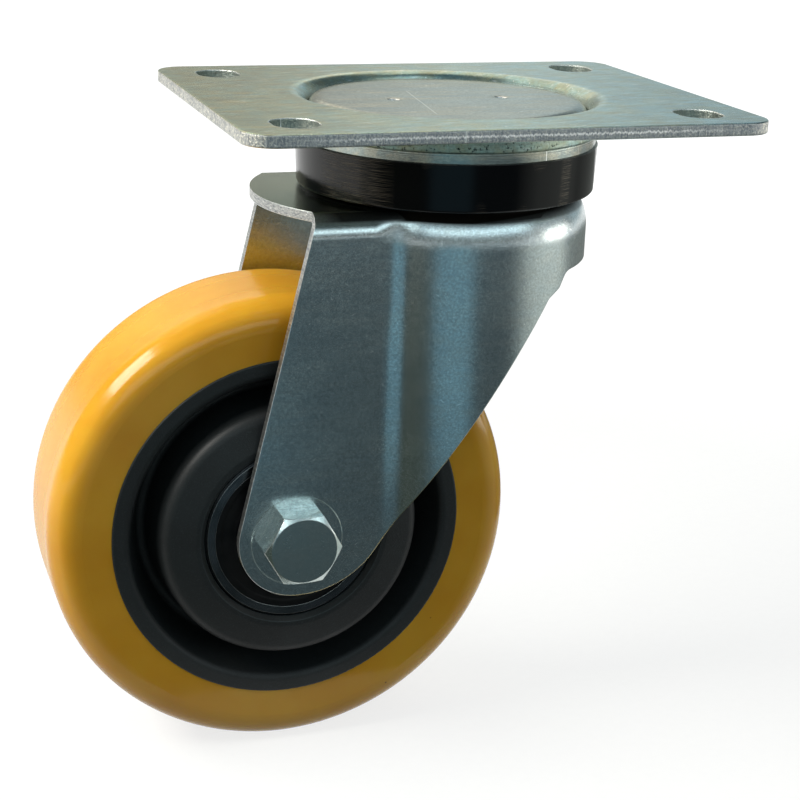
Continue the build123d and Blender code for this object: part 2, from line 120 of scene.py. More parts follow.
def coarse_thread(tree, angle, along, pitch):
    """Height of a screw thread, 0 to 1, drawn twice as coarse as it is so that it shows."""
    turn = add(tree, "Math", {0: angle, 1: 2 * math.pi}, operation="DIVIDE")[0]
    climb = add(tree, "Math", {0: along, 1: pitch}, operation="DIVIDE")[0]
    phase = add(tree, "Math", {0: climb, 1: turn}, operation="ADD")[0]
    return add(tree, "Math", {0: phase, 1: 1.0}, operation="PINGPONG")[0]


def worn_edges(tree, radius):
    """The normal rounded over sharp edges by this radius in metres, and how near the point is to
    such an edge, 0 to 1."""
    rounded = add(tree, "Bevel", {"Radius": radius}, samples=6)[0]
    true = add(tree, "NewGeometry")["Normal"]
    likeness = add(tree, "VectorMath", {0: rounded, 1: true}, operation="DOT_PRODUCT")["Value"]
    near = add(tree, "MapRange", {"Value": likeness, "From Min": 0.995, "From Max": 0.85})[0]
    return rounded, near


def passivated_zinc(tree, place, grain_axis, darker, paler, straw_share, smooth, rough):
    """Bright zinc electroplating on rolled steel, with a clear blue passivation. To the eye it is a
    blue-grey metal, clouded in patches of a centimetre or so, with the rolling grain still in it,
    a slight straw tint here and there, and fine handling scratches."""
    cloud_size = 13.0
    streak_length = 22.0
    streak_width = 3.0
    grain_length = 9.0
    grain_width = 0.35      # real grain is about 0.05 mm, drawn coarser so that it shows
    grit_size = 0.6
    cloud = add(tree, "TexNoise", {"Vector": place, "Scale": 1 / cloud_size, "Detail": 4.0,
                                   "Roughness": 0.6})[0]
    rolled = drawn_out(tree, place, grain_axis, streak_length, streak_width)
    streak = add(tree, "TexNoise", {"Vector": rolled, "Scale": 1.0, "Detail": 4.0,
                                    "Roughness": 0.65})[0]
    drawn = drawn_out(tree, place, grain_axis, grain_length, grain_width)
    grain = add(tree, "TexNoise", {"Vector": drawn, "Scale": 1.0, "Detail": 3.0})[0]
    grit = add(tree, "TexNoise", {"Vector": place, "Scale": 1 / grit_size})[0]
    cloudy = add(tree, "MapRange", {"Value": cloud, "From Min": 0.36, "From Max": 0.66})[0]
    blue_grey = add(tree, "Mix", {0: cloudy, 6: darker, 7: paler}, data_type="RGBA")[2]
    straw = add(tree, "MapRange", {"Value": streak, "From Min": 0.42, "From Max": 0.68,
                                   "To Max": straw_share})[0]
    tinted = add(tree, "Mix", {0: straw, 6: blue_grey, 7: "CDC2A6"}, data_type="RGBA")[2]
    grit_share = 3.0
    fine = add(tree, "Math", {0: grit, 1: grit_share, 2: grain}, operation="MULTIPLY_ADD")[0]
    relief = add(tree, "Math", {0: fine, 1: 1 / (1 + grit_share)}, operation="MULTIPLY")[0]
    grained = add(tree, "MapRange", {"Value": relief, "From Min": 0.36, "From Max": 0.64,
                                     "To Min": 0.86, "To Max": 1.1})[0]
    colour = add(tree, "Mix", {0: 1.0, 6: tinted, 7: grained}, data_type="RGBA",
                 blend_type="MULTIPLY")[2]
    roughness = add(tree, "MapRange", {"Value": streak, "From Min": 0.3, "From Max": 0.7,
                                       "To Min": smooth, "To Max": rough})[0]
    return colour, roughness, relief


def handling_marks(tree, flat):
    """Marks from handling on a flat pattern place: a few short ticks of a millimetre or two in two
    directions, and pin-prick specks. Gives a mask."""
    mask = 0.0
    tick_spacing = 13.0
    tick_width_spacing = 2.2
    tick_share = 0.07       # of the pattern's cells, those that hold a tick
    for turn in (0.45, -0.7):                   # radians
        turned = add(tree, "Mapping", {"Vector": flat, "Rotation": (0, 0, turn),
                                       "Scale": (tick_spacing, tick_width_spacing, 1.0)},
                     vector_type="TEXTURE")[0]
        cells = add(tree, "TexVoronoi", {"Vector": turned, "Scale": 1.0}, voronoi_dimensions="2D")
        line = add(tree, "MapRange", {"Value": cells["Distance"], "From Min": 0.07,
                                      "From Max": 0.03, "To Max": 0.8})[0]
        chance = add(tree, "SeparateColor", {"Color": cells["Color"]})[0]
        kept = add(tree, "Math", {0: chance, 1: tick_share}, operation="LESS_THAN")[0]
        tick = where_all(tree, line, kept)
        mask = add(tree, "Math", {0: tick, 1: mask}, operation="MAXIMUM")[0]
    speck_spacing = 3.2
    speck_share = 0.3
    dots = add(tree, "TexVoronoi", {"Vector": flat, "Scale": 1 / speck_spacing},
               voronoi_dimensions="2D")
    dot = add(tree, "MapRange", {"Value": dots["Distance"], "From Min": 0.05, "From Max": 0.02})[0]
    chance = add(tree, "SeparateColor", {"Color": dots["Color"]})[0]
    kept = add(tree, "Math", {0: chance, 1: speck_share}, operation="LESS_THAN")[0]
    speck = where_all(tree, dot, kept)
    return add(tree, "Math", {0: mask, 1: speck}, operation="MAXIMUM")[0]


def sheared_edge(tree, place, along):
    """A cut edge of thick sheet: fine ribs across the sheet from the punch, in a speckled bright
    and dark metal. Gives a colour and a height."""
    rib_width = 0.4
    rib_length = 3.0
    ribbed = drawn_out(tree, place, along, rib_length, rib_width)
    ribs = add(tree, "TexNoise", {"Vector": ribbed, "Scale": 1.0, "Detail": 4.0,
                                  "Roughness": 0.7})[0]
    bright = add(tree, "MapRange", {"Value": ribs, "From Min": 0.34, "From Max": 0.68})[0]
    colour = add(tree, "Mix", {0: bright, 6: "767C80", 7: "DCDCD6"}, data_type="RGBA")[2]
    return colour, ribs


def zinc_plated_plate():
    """Sheared and drawn steel plate, zinc plated and clear passivated: satin blue-grey faces with
    rolling grain along the plate, an edge with a jagged line where the shear turned into a break,
    painted bright as a highlight, and a rough torn skin on the outside of the drawn collar."""
    material, tree = begin("zinc_plated_plate")
    place = place_mm(tree)
    colour, roughness, grain = passivated_zinc(
        tree, place, 0, "B3BFBF", "CDD6D2", straw_share=0.6, smooth=0.17, rough=0.28)
    rounded, near_edge = worn_edges(tree, 0.0006)

    # Painted reflection: the plate's tint runs from straw at one end to blue at the other, as the
    # warm and the cool light that it mirrors
    drift_size = 34.0
    drift = add(tree, "TexNoise", {"Vector": place, "Scale": 1 / drift_size})[0]
    length, width, height = add(tree, "SeparateXYZ", {0: place})[0:3]
    along_plate = add(tree, "Math", {0: length, 1: 1 / half_plate_x, 2: drift},
                      operation="MULTIPLY_ADD")[0]
    blueness = add(tree, "MapRange", {"Value": along_plate, "From Min": -0.5, "From Max": 1.2})[0]
    mirrored_tint = add(tree, "Mix", {0: blueness, 6: "F6F8E4", 7: "E4F6FB"}, data_type="RGBA")[2]
    colour = add(tree, "Mix", {0: 1.0, 6: colour, 7: mirrored_tint}, data_type="RGBA",
                 blend_type="MULTIPLY")[2]

    # Tarnish in patches of under a centimetre, from olive to teal
    tarnish_size = 8.0
    tarnish = add(tree, "TexNoise", {"Vector": place, "Scale": 1 / tarnish_size, "Detail": 5.0,
                                     "Roughness": 0.7})[0]
    tarnished = add(tree, "MapRange", {"Value": tarnish, "From Min": 0.4, "From Max": 0.6})[0]
    tarnish_tint = add(tree, "Mix", {0: tarnished, 6: "F2ECDA", 7: "E6F6F8"}, data_type="RGBA")[2]
    colour = add(tree, "Mix", {0: 1.0, 6: colour, 7: tarnish_tint}, data_type="RGBA",
                 blend_type="MULTIPLY")[2]

    # Smudges of a few millimetres, brownish, and scoured streaks along the plate
    smudge_length = 9.0
    smudge_width = 2.4
    smudge_at = add(tree, "Mapping", {"Vector": place, "Rotation": (0, 0, 0.35),
                                      "Scale": (smudge_length, smudge_width, 1.0)},
                    vector_type="TEXTURE")[0]
    smudge = add(tree, "TexNoise", {"Vector": smudge_at, "Scale": 1.0, "Detail": 5.0,
                                    "Roughness": 0.7})[0]
    smudged = add(tree, "MapRange", {"Value": smudge, "From Min": 0.5, "From Max": 0.72,
                                     "To Max": 0.5})[0]
    colour = add(tree, "Mix", {0: smudged, 6: colour, 7: "8C8878"}, data_type="RGBA")[2]
    scoured = add(tree, "MapRange", {"Value": smudge, "From Min": 0.45, "From Max": 0.28,
                                     "To Max": 0.5})[0]
    colour = add(tree, "Mix", {0: scoured, 6: colour, 7: "E4EEEE"}, data_type="RGBA")[2]

    # The cut edges are upright faces: the plate's outline, and inside it the walls of the slots
    level = how_far(tree, add(tree, "SeparateXYZ", {0: add(tree, "TexCoord")["Normal"]})[2])
    upright = add(tree, "MapRange", {"Value": level, "From Min": 0.75, "From Max": 0.35})[0]
    below_plate = add(tree, "Math", {0: height, 1: -plate_t - 0.2}, operation="LESS_THAN")[0]
    in_plate = add(tree, "Math", {0: 1.0, 1: below_plate}, operation="SUBTRACT")[0]
    cut = where_all(tree, upright, in_plate)
    end_on = add(tree, "Math", {0: how_far(tree, length), 1: half_plate_x}, operation="DIVIDE")[0]
    side_on = add(tree, "Math", {0: how_far(tree, width), 1: half_plate_y}, operation="DIVIDE")[0]
    side_cut = add(tree, "MapRange", {"Value": side_on, "From Min": 0.98, "From Max": 0.99})[0]
    farthest = add(tree, "Math", {0: end_on, 1: side_on}, operation="MAXIMUM")[0]
    outline = add(tree, "MapRange", {"Value": farthest, "From Min": 0.93, "From Max": 0.95})[0]

    # The shear's edge is ribbed. Painted shade makes the long sides darker than the ends, and along
    # them a jagged line where the shear turned into a break is painted as a bright highlight that
    # fades towards the plate's ends
    break_depth = -1.55
    jag_height = 1.1
    jag_width = 0.9
    jag_reach = 20.0        # down the edge, more than its height, so that the line stays one
    jag_at = add(tree, "Mapping", {"Vector": place,
                                   "Scale": (1 / jag_width, 1 / jag_width, 1 / jag_reach)})[0]
    jag = add(tree, "TexNoise", {"Vector": jag_at, "Scale": 1.0, "Detail": 4.0,
                                 "Roughness": 0.7})[0]
    line_z = add(tree, "MapRange", {"Value": jag, "From Min": 0.25, "From Max": 0.75,
                                    "To Min": break_depth - jag_height / 2,
                                    "To Max": break_depth + jag_height / 2})[0]
    off_line = how_far(tree, height, line_z)
    on_line = add(tree, "MapRange", {"Value": off_line, "From Min": 0.34, "From Max": 0.16})[0]
    edge_colour, ribs = sheared_edge(tree, place, 2)
    chip_size = 0.55
    chips = add(tree, "TexNoise", {"Vector": place, "Scale": 1 / chip_size, "Detail": 3.0,
                                   "Roughness": 0.7})[0]
    chipped = add(tree, "MapRange", {"Value": chips, "From Min": 0.5, "From Max": 0.64})[0]
    edge_colour = add(tree, "Mix", {0: chipped, 6: edge_colour, 7: "FFFBEA"}, data_type="RGBA")[2]
    in_line = add(tree, "MapRange", {"Value": ribs, "From Min": 0.3, "From Max": 0.55})[0]
    toward_end = add(tree, "MapRange", {"Value": end_on, "From Min": 0.85, "From Max": 0.5})[0]
    break_highlight = where_all(tree, on_line, in_line, side_cut, toward_end)
    ribs_share = 0.48       # of the ribs' own colour, kept on the dark long sides
    edge_shaded = add(tree, "Mix", {0: side_cut, 6: edge_colour, 7: "7A828C"}, data_type="RGBA")[2]
    edge_shaded = add(tree, "Mix", {0: ribs_share, 6: edge_shaded, 7: edge_colour},
                    data_type="RGBA")[2]
    edge_lined = add(tree, "Mix", {0: break_highlight, 6: edge_shaded, 7: "FBF8F6"}, data_type="RGBA")[2]
    slot_shade = 0.7
    slot_wall = add(tree, "Mix", {0: slot_shade, 6: edge_colour, 7: "87958C"}, data_type="RGBA")[2]
    cut_colour = add(tree, "Mix", {0: outline, 6: slot_wall, 7: edge_lined}, data_type="RGBA")[2]
    colour = add(tree, "Mix", {0: cut, 6: colour, 7: cut_colour}, data_type="RGBA")[2]
    roughness = add(tree, "Mix", {0: cut, 2: roughness, 3: 0.42})[0]

    # The collar's torn outside: pits of about a millimetre, the deepest ones dark
    pit_size = 0.9
    pits = add(tree, "TexNoise", {"Vector": place, "Scale": 1 / pit_size, "Detail": 4.0,
                                  "Roughness": 0.65})[0]
    pitted = add(tree, "MapRange", {"Value": pits, "From Min": 0.44, "From Max": 0.36})[0]
    torn = where_all(tree, below_plate, upright)
    dark_pits = where_all(tree, torn, pitted)
    colour = add(tree, "Mix", {0: dark_pits, 6: colour, 7: "2E3436"}, data_type="RGBA")[2]
    roughness = add(tree, "Mix", {0: torn, 2: roughness, 3: 0.45})[0]

    marks = handling_marks(tree, place)
    colour = add(tree, "Mix", {0: marks, 6: colour, 7: "F0F2EE"}, data_type="RGBA")[2]
    # Rubbed edges coloured near white: worn zinc, and a painted highlight along the rim
    rub_gaps = add(tree, "MapRange", {"Value": ribs, "From Min": 0.3, "From Max": 0.5})[0]
    rubbed = where_all(tree, near_edge, rub_gaps)
    colour = add(tree, "Mix", {0: rubbed, 6: colour, 7: "FBFDFB"}, data_type="RGBA")[2]

    broken = add(tree, "Math", {0: ribs, 1: chips}, operation="ADD")[0]
    rough_height = add(tree, "Mix", {0: cut, 2: grain, 3: broken})[0]
    rough_height = add(tree, "Mix", {0: torn, 2: rough_height, 3: pits})[0]
    depth = add(tree, "Math", {0: cut, 1: torn}, operation="ADD")[0]
    depth_mm = add(tree, "MapRange", {"Value": depth, "To Min": 0.02, "To Max": 0.16})[0]
    return close(material, tree, colour, roughness, rough_height, depth_mm, rounded, Metallic=1.0)


def zinc_plated_fork():
    """Cold-drawn steel sheet, zinc plated and blue passivated: smooth and cloudy, with soft wide
    reflections in the bends, fine level drawing grain, small handling scratches, and ribbed
    sheared edges that catch the light."""
    material, tree = begin("zinc_plated_fork")
    place = place_mm(tree)
    colour, roughness, grain = passivated_zinc(
        tree, place, 0, "BCC8CB", "C8D3D4", straw_share=0.12, smooth=0.22, rough=0.26)
    facing = add(tree, "SeparateXYZ", {0: add(tree, "TexCoord")["Normal"]})
    along, across, height = add(tree, "SeparateXYZ", {0: place})[0:3]

    # Worn edges, and behind the crown's front edge the soft run of the big bend into the wall
    edge_radius = 0.00035       # metres
    bend_radius = 0.003
    run_reach, run_full = 8.0, 4.5      # mm above and below the middle of the run
    off_bends = how_far(tree, height, bends_mid_z)
    radius = add(tree, "MapRange", {"Value": off_bends, "From Min": run_reach,
                                    "From Max": run_full, "To Min": edge_radius,
                                    "To Max": bend_radius})[0]
    behind_edge = add(tree, "Math", {0: along, 1: crown_front_x}, operation="GREATER_THAN")[0]
    radius = add(tree, "Mix", {0: behind_edge, 2: edge_radius, 3: radius})[0]
    rounded, near_edge = worn_edges(tree, radius)

    # Ahead of the head, the crown runs into each leg's outside in a wide easy bend: down the bend
    # the normal turns from upward to sideways
    rise = add(tree, "MapRange", {"Value": height, "From Min": easy_bend_foot_z,
                                  "From Max": crown_top})[0]
    rest = add(tree, "Math", {0: rise, 1: rise}, operation="MULTIPLY")[0]
    rest = add(tree, "Math", {0: 1.0, 1: rest}, operation="SUBTRACT")[0]
    level_part = add(tree, "Math", {0: rest}, operation="SQRT")[0]
    outward = add(tree, "Math", {0: facing[1]}, operation="SIGN")[0]
    level_part = add(tree, "Math", {0: level_part, 1: outward}, operation="MULTIPLY")[0]
    eased = add(tree, "VectorTransform", {0: add(tree, "CombineXYZ", {1: level_part, 2: rise})[0]},
                vector_type="VECTOR", convert_from="OBJECT", convert_to="WORLD")[0]
    past_head = add(tree, "MapRange", {"Value": along, "From Min": head_end_x,
                                       "From Max": legs_flat_x})[0]
    same_side = add(tree, "Math", {0: facing[1], 1: across}, operation="MULTIPLY")[0]
    outside = add(tree, "Math", {0: same_side, 1: 0.5}, operation="GREATER_THAN")[0]
    not_end = add(tree, "Math", {0: how_far(tree, facing[0]), 1: 0.3}, operation="LESS_THAN")[0]
    above_seat = add(tree, "MapRange", {"Value": height, "From Min": seat_clear_z,
                                        "From Max": seat_clear_z + 10.0})[0]
    eased_here = where_all(tree, past_head, outside, not_end, above_seat)
    rounded = add(tree, "Mix", {0: eased_here, 4: rounded, 5: eased}, data_type="VECTOR")[1]

    # The cut edges: at the rear they look down, and at the front they look ahead. The rear ones,
    # which look down at the tyre, are tinted straw yellow as a painted reflection of it
    downward = add(tree, "Math", {0: facing[2], 1: -0.25}, operation="LESS_THAN")[0]
    low = add(tree, "Math", {0: height, 1: crown_bend_z}, operation="LESS_THAN")[0]
    not_side = add(tree, "Math", {0: how_far(tree, facing[1]), 1: 0.8}, operation="LESS_THAN")[0]
    rear_cut = where_all(tree, downward, low, not_side)
    not_level = add(tree, "Math", {0: how_far(tree, facing[2]), 1: 0.6}, operation="LESS_THAN")[0]
    front = add(tree, "Math", {0: along, 1: leg_front_x}, operation="LESS_THAN")[0]
    front_cut = where_all(tree, not_side, not_level, front)
    cut = add(tree, "Math", {0: rear_cut, 1: front_cut}, operation="MAXIMUM")[0]
    edge_colour, ribs = sheared_edge(tree, place, 1)
    tyre_mirrored_edge = add(tree, "Mix", {0: 1.0, 6: edge_colour, 7: "F6E3A8"},
                     data_type="RGBA", blend_type="MULTIPLY")[2]
    edge_colour = add(tree, "Mix", {0: rear_cut, 6: edge_colour, 7: tyre_mirrored_edge},
                      data_type="RGBA")[2]
    colour = add(tree, "Mix", {0: cut, 6: colour, 7: edge_colour}, data_type="RGBA")[2]
    roughness = add(tree, "Mix", {0: cut, 2: roughness, 3: 0.4})[0]

    # Handling marks on the legs, and the worn edges, coloured pale as a painted highlight and straw
    # yellow low down at the rear as a painted reflection of the tyre
    marks = handling_marks(tree, add(tree, "CombineXYZ", {0: along, 1: height})[0])
    colour = add(tree, "Mix", {0: marks, 6: colour, 7: "EEF2F2"}, data_type="RGBA")[2]
    heel_from_z, heel_full_z = -70.0, -100.0
    heel = add(tree, "MapRange", {"Value": height, "From Min": heel_from_z,
                                  "From Max": heel_full_z})[0]
    past_axle = add(tree, "MapRange", {"Value": along, "From Min": axle_x - 8.0,
                                       "From Max": axle_x})[0]
    edge_sheen_tint = add(tree, "Mix", {0: where_all(tree, heel, past_axle), 6: "EEF4F4",
                                  7: "E0CE90"}, data_type="RGBA")[2]
    off_seat = add(tree, "Math", {0: from_axle(tree, place), 1: bolt_seat_r},
                   operation="GREATER_THAN")[0]
    edge_shown = where_all(tree, near_edge, off_seat)
    colour = add(tree, "Mix", {0: edge_shown, 6: colour, 7: edge_sheen_tint}, data_type="RGBA")[2]

    # Painted shade: faces that look upward are tinted darker, and the pressed-up race under the
    # ring and the top of the bend beside the ring are coloured near black
    ring_shade_end_r, ring_shade_full_r = 39.0, 34.5
    bend_shade_end_r, bend_shade_full_r = 60.0, 46.0
    race_from_z, race_full_z = -27.9, -27.2
    bend_from_z, bend_full_z = -28.0, -26.8
    upward = add(tree, "MapRange", {"Value": facing[2], "From Min": 0.8, "From Max": 0.98})[0]
    upward_shaded = add(tree, "Mix", {0: 1.0, 6: colour, 7: "B2B6A4"}, data_type="RGBA",
                blend_type="MULTIPLY")[2]
    colour = add(tree, "Mix", {0: upward, 6: colour, 7: upward_shaded}, data_type="RGBA")[2]
    from_swivel = add(tree, "VectorMath", {0: add(tree, "CombineXYZ", {0: along, 1: across})[0]},
                      operation="LENGTH")["Value"]
    under_ring = add(tree, "MapRange", {"Value": from_swivel, "From Min": ring_shade_end_r,
                                        "From Max": ring_shade_full_r})[0]
    on_race = add(tree, "MapRange", {"Value": height, "From Min": race_from_z,
                                     "From Max": race_full_z})[0]
    ring_shade = where_all(tree, under_ring, on_race)
    beside_ring = add(tree, "MapRange", {"Value": from_swivel, "From Min": bend_shade_end_r,
                                         "From Max": bend_shade_full_r, "To Max": 0.95})[0]
    bend_top = add(tree, "MapRange", {"Value": facing[2], "From Min": 0.99, "From Max": 0.93})[0]
    on_bend = add(tree, "MapRange", {"Value": height, "From Min": bend_from_z,
                                     "From Max": bend_full_z})[0]
    bend_shade = where_all(tree, beside_ring, bend_top, not_end, on_bend)
    ring_shade = add(tree, "Math", {0: ring_shade, 1: bend_shade}, operation="MAXIMUM")[0]
    colour = add(tree, "Mix", {0: ring_shade, 6: colour, 7: "14120F"}, data_type="RGBA")[2]
    roughness = add(tree, "Mix", {0: ring_shade, 2: roughness, 3: 0.6})[0]

    # Orange-peel of a few millimetres from the drawing, and the fine grain
    peel_size = 3.5
    peel = add(tree, "TexNoise", {"Vector": place, "Scale": 1 / peel_size})[0]
    skin = add(tree, "Math", {0: grain, 1: peel}, operation="ADD")[0]
    surface = add(tree, "Mix", {0: cut, 2: skin, 3: ribs})[0]
    depth_mm = add(tree, "MapRange", {"Value": cut, "To Min": 0.014, "To Max": 0.12})[0]
    return close(material, tree, colour, roughness, surface, depth_mm, rounded, Metallic=1.0)


def turned_zinc_post():
    """Forged steel turned on a lathe, then zinc plated: fine turning rings round the axis on the
    flange, and a ground face with straight fine lines on the head."""
    material, tree = begin("turned_zinc_post")
    place = place_mm(tree)
    colour, roughness, grain = passivated_zinc(
        tree, place, 0, "929D99", "A6B0AB", straw_share=0.5, smooth=0.17, rough=0.27)
    x, y, z = add(tree, "SeparateXYZ", {0: place})[0:3]
    radius = add(tree, "VectorMath", {0: add(tree, "CombineXYZ", {0: x, 1: y})[0]},
                 operation="LENGTH")["Value"]
    on_head = add(tree, "Math", {0: z, 1: head_foot_z}, operation="GREATER_THAN")[0]
    flange_edge_radius = 0.00025    # metres
    head_edge_radius = 0.0042
    radius_worn = add(tree, "Mix", {0: on_head, 2: flange_edge_radius, 3: head_edge_radius})[0]
    rounded, near_edge = worn_edges(tree, radius_worn)

    # The two punch marks keep their own faces, and the head has no bright edge
    off = add(tree, "Math", {0: how_far(tree, x), 1: punch_reach}, operation="SUBTRACT")[0]
    off_punch = add(tree, "VectorMath", {0: add(tree, "CombineXYZ", {0: off, 1: y})[0]},
                    operation="LENGTH")["Value"]
    punched = add(tree, "MapRange", {"Value": off_punch, "From Min": punch_r + 0.1,
                                     "From Max": punch_r - 0.3})[0]
    punched = where_all(tree, punched, on_head)
    own_face = add(tree, "NewGeometry")["Normal"]
    rounded = add(tree, "Mix", {0: punched, 4: rounded, 5: own_face}, data_type="VECTOR")[1]
    near_edge = add(tree, "Mix", {0: on_head, 2: near_edge, 3: 0.0})[0]

    # Turning rings, about 0.3 mm apart, along the radius and down the axis
    feed = 0.3
    run = add(tree, "Math", {0: radius, 1: z}, operation="ADD")[0]
    rings_at = add(tree, "CombineXYZ", {0: run})[0]
    rings = add(tree, "TexNoise", {"Vector": rings_at, "Scale": 1 / feed})[0]
    lines = add(tree, "Mix", {0: on_head, 2: rings, 3: grain})[0]
    ringed = add(tree, "MapRange", {"Value": lines, "From Min": 0.3, "From Max": 0.7,
                                    "To Min": 0.8, "To Max": 1.05})[0]
    colour = add(tree, "Mix", {0: 1.0, 6: colour, 7: ringed}, data_type="RGBA",
                 blend_type="MULTIPLY")[2]
    marks = handling_marks(tree, place)
    colour = add(tree, "Mix", {0: marks, 6: colour, 7: "F4F6F2"}, data_type="RGBA")[2]
    # Worn edges off the head coloured near white: worn zinc, and a painted highlight
    colour = add(tree, "Mix", {0: near_edge, 6: colour, 7: "F2F6F4"}, data_type="RGBA")[2]

    # In the punch marks the metal is torn, and it is coloured near white as a painted highlight
    tear_size = 0.55
    tears = add(tree, "TexNoise", {"Vector": place, "Scale": 1 / tear_size})[0]
    colour = add(tree, "Mix", {0: punched, 6: colour, 7: "FFFFFC"}, data_type="RGBA")[2]
    roughness = add(tree, "Mix", {0: punched, 2: roughness, 3: 0.3})[0]

    # One long hairline scratch on the head
    scratch_from = (-6.9, 14.6)
    scratch_to = (-11.7, -25.4)
    scratch_fade = 4.0
    run_x, run_y = scratch_to[0] - scratch_from[0], scratch_to[1] - scratch_from[1]
    scratch_length = math.hypot(run_x, run_y)
    run_x, run_y = run_x / scratch_length, run_y / scratch_length       # now 1 long
    half_scratch = scratch_length / 2
    from_start = add(tree, "VectorMath", {0: place, 1: (*scratch_from, 0.0)},
                     operation="SUBTRACT")[0]
    beside = add(tree, "VectorMath", {0: from_start, 1: (run_y, -run_x, 0.0)},
                 operation="DOT_PRODUCT")["Value"]
    gone = add(tree, "VectorMath", {0: from_start, 1: (run_x, run_y, 0.0)},
               operation="DOT_PRODUCT")["Value"]
    thin = add(tree, "MapRange", {"Value": how_far(tree, beside), "From Min": 0.2,
                                  "From Max": 0.08})[0]
    not_past = add(tree, "MapRange", {"Value": how_far(tree, gone, half_scratch),
                                      "From Min": half_scratch,
                                      "From Max": half_scratch - scratch_fade,
                                      "To Max": 0.55})[0]
    scratched = where_all(tree, thin, not_past, on_head)
    colour = add(tree, "Mix", {0: scratched, 6: colour, 7: "FFFFFA"}, data_type="RGBA")[2]

    # Thread on the kingpin below the race
    pitch = 1.5
    angle = add(tree, "Math", {0: y, 1: x}, operation="ARCTAN2")[0]
    thread = coarse_thread(tree, angle, z, pitch)
    on_thread = add(tree, "Math", {0: z, 1: thread_top_z}, operation="LESS_THAN")[0]
    surface = add(tree, "Mix", {0: on_thread, 2: lines, 3: thread})[0]
    surface = add(tree, "Mix", {0: punched, 2: surface, 3: tears})[0]
    depth_mm = add(tree, "MapRange", {"Value": on_thread, "To Min": 0.015, "To Max": 0.6})[0]
    depth_mm = add(tree, "Mix", {0: punched, 2: depth_mm, 3: 0.12})[0]
    return close(material, tree, colour, roughness, surface, depth_mm, rounded, Metallic=1.0)


def bright_zinc_fastener():
    """Cold-headed steel bolt and nut, bright zinc plated: sharper and brighter than the sheet, with
    faint blotches from the barrel, and every worn edge coloured near white as a painted highlight."""
    material, tree = begin("bright_zinc_fastener")
    place = place_mm(tree)
    rounded, near_edge = worn_edges(tree, 0.0003)
    blotch_size = 2.6
    dent_size = 0.7
    blotch = add(tree, "TexNoise", {"Vector": place, "Scale": 1 / blotch_size, "Detail": 4.0})[0]
    dents = add(tree, "TexNoise", {"Vector": place, "Scale": 1 / dent_size, "Detail": 3.0})[0]
    cloudy = add(tree, "MapRange", {"Value": blotch, "From Min": 0.35, "From Max": 0.65})[0]
    colour = add(tree, "Mix", {0: cloudy, 6: "BBC9C8", 7: "D3DCD9"}, data_type="RGBA")[2]
    # Painted highlight: every edge coloured near white
    colour = add(tree, "Mix", {0: near_edge, 6: colour, 7: "F8FAF8"}, data_type="RGBA")[2]
    roughness = add(tree, "MapRange", {"Value": blotch, "From Min": 0.3, "From Max": 0.7,
                                       "To Min": 0.28, "To Max": 0.18})[0]

    # M12 thread on the bolt's end. The pitch is negative, because the angle round the axle turns
    # the other way
    pitch = -1.75
    x, y, z = add(tree, "SeparateXYZ", {0: place})[0:3]
    angle = add(tree, "Math", {0: add(tree, "Math", {0: z, 1: -axle_z}, operation="ADD")[0],
                               1: add(tree, "Math", {0: x, 1: -axle_x}, operation="ADD")[0]},
                operation="ARCTAN2")[0]
    thread = coarse_thread(tree, angle, y, pitch)
    past_nut = add(tree, "Math", {0: y, 1: nut_face_y}, operation="GREATER_THAN")[0]
    surface = add(tree, "Mix", {0: past_nut, 2: dents, 3: thread})[0]
    depth_mm = add(tree, "MapRange", {"Value": past_nut, "To Min": 0.02, "To Max": 0.7})[0]
    return close(material, tree, colour, roughness, surface, depth_mm, rounded, Metallic=1.0)


def ground_bearing_steel():
    """Hardened chrome steel, ground: a grey metal with fine rings round the axle and a film of oil
    that darkens it in places."""
    material, tree = begin("ground_bearing_steel")
    place = place_mm(tree)
    rounded, near_edge = worn_edges(tree, 0.0002)
    ring_spacing = 0.25     # grinding rings are finer, drawn coarser so that they show
    rings_at = add(tree, "CombineXYZ", {0: from_axle(tree, place)})[0]
    rings = add(tree, "TexNoise", {"Vector": rings_at, "Scale": 1 / ring_spacing})[0]
    film_size = 7.0
    film = add(tree, "TexNoise", {"Vector": place, "Scale": 1 / film_size, "Detail": 3.0})[0]
    oily = add(tree, "MapRange", {"Value": film, "From Min": 0.35, "From Max": 0.65})[0]
    colour = add(tree, "Mix", {0: oily, 6: "56595C", 7: "6C6E72"}, data_type="RGBA")[2]
    colour = add(tree, "Mix", {0: near_edge, 6: colour, 7: "B4B6B4"}, data_type="RGBA")[2]
    roughness = add(tree, "MapRange", {"Value": rings, "From Min": 0.3, "From Max": 0.7,
                                       "To Min": 0.2, "To Max": 0.34})[0]
    return close(material, tree, colour, roughness, rings, 0.01, rounded, Metallic=1.0)


def pressed_cage_steel():
    """Thin pressed steel strip, tumbled: dull grey with a fine even dimpling."""
    material, tree = begin("pressed_cage_steel")
    place = place_mm(tree)
    dimple_size = 0.5
    dimples = add(tree, "TexNoise", {"Vector": place, "Scale": 1 / dimple_size})[0]
    colour = add(tree, "Mix", {0: dimples, 6: "86847F", 7: "A3A09A"}, data_type="RGBA")[2]
    roughness = add(tree, "MapRange", {"Value": dimples, "To Min": 0.3, "To Max": 0.5})[0]
    return close(material, tree, colour, roughness, dimples, 0.02, Metallic=1.0)


